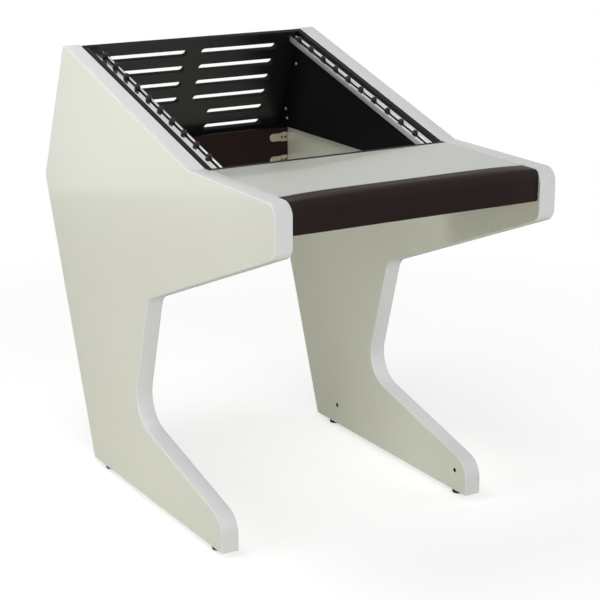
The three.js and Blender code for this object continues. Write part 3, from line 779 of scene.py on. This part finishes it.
rail_points = [
    (0, 0), *[(rail_middle - x, z) for x, z in half_channel],
    *[(rail_middle + x, z) for x, z in half_channel[::-1]],
    (rail_width, 0), (rail_width, -rail_depth), (channel_side, -rail_depth),
    (channel_side, -rail_wall), (rail_wall, -rail_wall), (rail_wall, -rail_leg),
    (0, -rail_leg),
]
rail_outline = rounded_outline([(x, z, rail_corner) for x, z in rail_points[::-1]], steps=2)
for hand, side in sides.items():
    rail = board(f"rail_{hand}", [rail_outline], rail_start, rail_end, rail_arris,
                 lambda u, v, depth: on_slope(side * (box_x - u), depth, v + rail_face), steps=2)
    given(rail, rail_metal, "aluminium", "desk", f"rack_rail_{hand}")

# Rack screws: ten blackened pan-head screws with washers in each rail. Each sits in a square
# nut that slides in the slot, so that it can be set to the holes of any unit.
nut_half, nut_low, nut_high, nut_corner, nut_arris = 0.0053, -0.0063, -0.0023, 0.0006, 0.0003
bore_half, bore_corner = 0.00287, 0.00286
nut_outline = oblong(-nut_half, nut_half, -nut_half, nut_half, nut_corner, steps=3)
nut_bore = opening(-bore_half, bore_half, -bore_half, bore_half, bore_corner, steps=6)
shank_radius, washer_top, head_radius, head_rim = 0.00285, 0.0012, 0.0054, 0.0054
rack_screw_profile = [
    (0, -0.0092), (0.0024, -0.0092), *thread(shank_radius, -0.0088, -0.0004, 0.0012, 0.0005),
    (shank_radius, 0), (0.0058, 0), (0.0061, 0.0001), (0.0062, 0.0003), (0.0062, 0.0009),
    (0.0061, 0.0011), (0.0058, washer_top), (head_radius, washer_top), (head_radius, 0.0051),
    *[(radius, height + head_rim) for radius, height in pan_head(head_radius, 0.0030, 24)],
]
pattern = joined(
    "rack screw",
    turned("screw", rack_screw_profile, sides=40, cross=(0.0006, 0.0029, 0.0018, 0.0065)),
    board("nut", [nut_outline, nut_bore], nut_low, nut_high, nut_arris,
          lambda u, v, depth: (u, v, depth), steps=2),
)
pattern.data.set_sharp_from_angle(angle=crease)
first_screw, screw_pitch, screws_a_rail = 0.046, 0.053, 10
onto_slope = Matrix.Rotation(slope, 4, "X")
for hand, side in sides.items():
    for number in range(screws_a_rail):
        body = f"rack_screw_{hand}_{number + 1}"
        screw = bpy.data.objects.new(f"{body}_made", pattern.data.copy())
        bpy.context.collection.objects.link(screw)
        where = on_slope(side * slot_x, first_screw + screw_pitch * number, rail_face)
        turn = Matrix.Rotation(number + 1, 4, "Z")
        screw.data.transform(Matrix.Translation(where) @ onto_slope @ turn)
        given(screw, screw_black, "black_steel", body, body)
bpy.data.objects.remove(pattern)

# Stage: a pale floor that fades to plain white away from the desk, a white surround, soft
# lamps left, above, in front, right and behind, and the camera at the photograph's angle.
bpy.ops.mesh.primitive_grid_add(x_subdivisions=8, y_subdivisions=8, size=60)
floor = bpy.context.object
floor.name = "floor"
floor_paint = Finish("floor", Roughness=0.6, Specular_IOR_Level=0.2, Emission_Strength=1)
ray = floor_paint.node("ShaderNodeLightPath", output="Is Camera Ray")
pale, dark = (0.6, 0.6, 0.6), (0, 0, 0)
floor_paint.set(Base_Color=floor_paint.blend(ray, (0.74, 0.735, 0.66), pale),
                Emission_Color=floor_paint.blend(ray, dark, pale))
here = floor_paint.node("ShaderNodeTexCoord", output="Object")
away = floor_paint.node("ShaderNodeVectorMath", {"operation": "LENGTH"}, {0: here},
                        output="Value")
white = floor_paint.node("ShaderNodeEmission", {}, {"Color": (1, 1, 1, 1), "Strength": 1})
lit = Link(floor_paint, floor_paint.surface.outputs[0])
fade = floor_paint.ramp(away * 0.1, 0.06, 0.2)
mixed = floor_paint.node("ShaderNodeMixShader", {}, {0: ray * fade, 1: lit, 2: white})
floor_paint.feed(floor_paint.tree.nodes["Material Output"], {"Surface": mixed})
floor_paint.onto(floor)

world = bpy.data.worlds.new("studio")
bpy.context.scene.world = world
world.use_nodes = True
sky = Nodes(world.node_tree)
plain = sky.node("ShaderNodeBackground", {}, {"Color": (1.0, 1.0, 1.02, 1), "Strength": 0.2})
backdrop = sky.node("ShaderNodeBackground", {}, {"Color": (0.8, 0.8, 0.8, 1), "Strength": 1})
shown = sky.node("ShaderNodeLightPath", output="Is Camera Ray")
for kind in ("Is Glossy Ray", "Is Transmission Ray"):
    ray = sky.node("ShaderNodeLightPath", output=kind)
    shown = sky.node("ShaderNodeMath", {"operation": "MAXIMUM"}, {0: shown, 1: ray})
chosen = sky.node("ShaderNodeMixShader", {}, {0: shown, 1: plain, 2: backdrop})
sky.feed(sky.tree.nodes["World Output"], {"Surface": chosen})

for name, place, aim, width, power, tint in (
    ("left lamp", (-2.4, 0, 1.1), (-0.2, 0, 0.5), 1.4, 19.5, (0.99, 1.0, 1.05)),
    ("upper lamp", (-0.7, 0.2, 2.3), (-0.1, 0, 0.6), 1.0, 14, (1.0, 1.0, 0.9)),
    ("front lamp", (-0.9, -3.7, 1.3), (0, 0, 0.5), 2.0, 54, (0.99, 1.0, 0.98)),
    ("right lamp", (2.4, -0.8, 0.9), (0.2, 0, 0.5), 1.6, 16, (0.99, 1.0, 0.98)),
    ("rear lamp", (-1.9, 2.4, 0.7), (-0.3, 0.2, 0.8), 1.6, 8, (1.02, 1.0, 1.06)),
):
    lamp = bpy.data.lights.new(name, "AREA")
    lamp.size = width
    lamp.energy = power
    lamp.color = tint
    holder = bpy.data.objects.new(name, lamp)
    holder.location = place
    holder.rotation_euler = (Vector(aim) - Vector(place)).to_track_quat("-Z", "Y").to_euler()
    bpy.context.collection.objects.link(holder)

camera = bpy.data.cameras.new("camera")
camera.sensor_width = 36
camera.lens = 106.3
pitch, yaw = np.radians(-16.247), np.radians(-30.439)
viewer = bpy.data.objects.new("camera", camera)
viewer.location = (-1.7388, -3.0377, 1.4142)
viewer.rotation_euler = (np.pi / 2 + pitch, 0, yaw)
bpy.context.collection.objects.link(viewer)
bpy.context.scene.camera = viewer
bpy.context.scene.view_settings.view_transform = "Standard"
